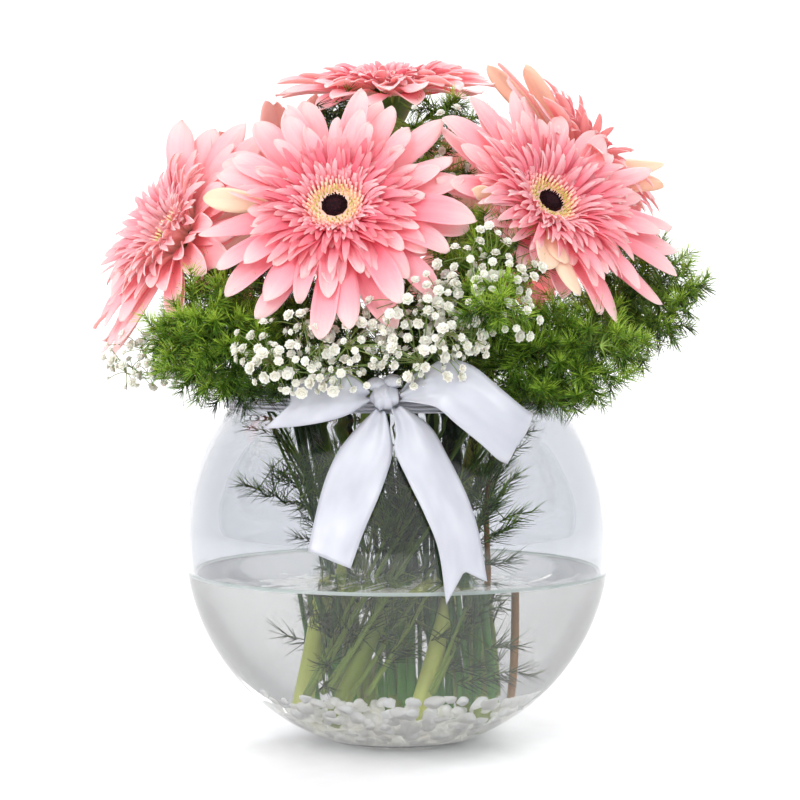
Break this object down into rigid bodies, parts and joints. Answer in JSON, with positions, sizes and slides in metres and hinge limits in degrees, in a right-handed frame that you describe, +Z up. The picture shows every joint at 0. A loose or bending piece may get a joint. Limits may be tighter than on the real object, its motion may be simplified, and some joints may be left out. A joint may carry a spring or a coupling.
{
  "type": "gerberas in a vase",
  "caption": "Round glass bowl of water with pink gerberas, fern and baby's breath over a bed of pebbles, and a satin ribbon bow at its neck.",
  "frame": {"origin": "middle of the bowl's flat underside", "axes": "+Z up through the bowl's mouth, -Y towards the ribbon bow at the front, +X to the right as the bow is seen"},
  "size_m": [0.2819, 0.2445, 0.325],
  "materials": {
    "glass": "clear blown glass, smooth",
    "water": "clear still water",
    "pebble": "white tumbled chips, wet",
    "petal": "soft matt petal, coral pink with paler tips",
    "crown": "cream and yellow-green florets",
    "eye": "dark maroon, velvety",
    "stem": "fresh green, faintly ribbed",
    "fern": "fresh green needles",
    "gyp": "creamy white blossoms on thin green stems",
    "ribbon": "white satin with a lilac-grey shade"
  },
  "bodies": {
    "root": {"glass_bowl": "glass", "bloom_front_stem": "stem", "bloom_right_stem": "stem", "bloom_left_stem": "stem", "bloom_top_stem": "stem", "bloom_right_rear_stem": "stem", "bloom_rear_left_stem": "stem", "bloom_rear_right_stem": "stem", "bloom_front_crown": "crown", "bloom_front_eye": "eye", "bloom_front_petals": "petal", "bloom_right_crown": "crown", "bloom_right_eye": "eye", "bloom_right_petals": "petal", "bloom_left_crown": "crown", "bloom_left_eye": "eye", "bloom_left_petals": "petal", "bloom_top_crown": "crown", "bloom_top_eye": "eye", "bloom_top_petals": "petal", "bloom_right_rear_crown": "crown", "bloom_right_rear_eye": "eye", "bloom_right_rear_petals": "petal", "bloom_rear_left_crown": "crown", "bloom_rear_left_eye": "eye", "bloom_rear_left_petals": "petal", "bloom_rear_right_crown": "crown", "bloom_rear_right_eye": "eye", "bloom_rear_right_petals": "petal", "ribbon_band": "ribbon", "ribbon_knot": "ribbon", "ribbon_tail_left": "ribbon", "ribbon_tail_right": "ribbon", "ribbon_end_left": "ribbon", "ribbon_loop_right": "ribbon", "gyp_front_left": "gyp", "gyp_front": "gyp", "gyp_front_right": "gyp", "gyp_left": "gyp", "gyp_rear": "gyp", "gyp_top": "gyp", "fern_front_left": "fern", "fern_front_right": "fern", "fern_right_low": "fern", "fern_right": "fern", "fern_right_rear": "fern", "fern_rear": "fern", "fern_rear_left": "fern", "fern_left": "fern", "fern_top": "fern", "pebbles": "pebble", "water": "water"}
  },
  "joints": []
}
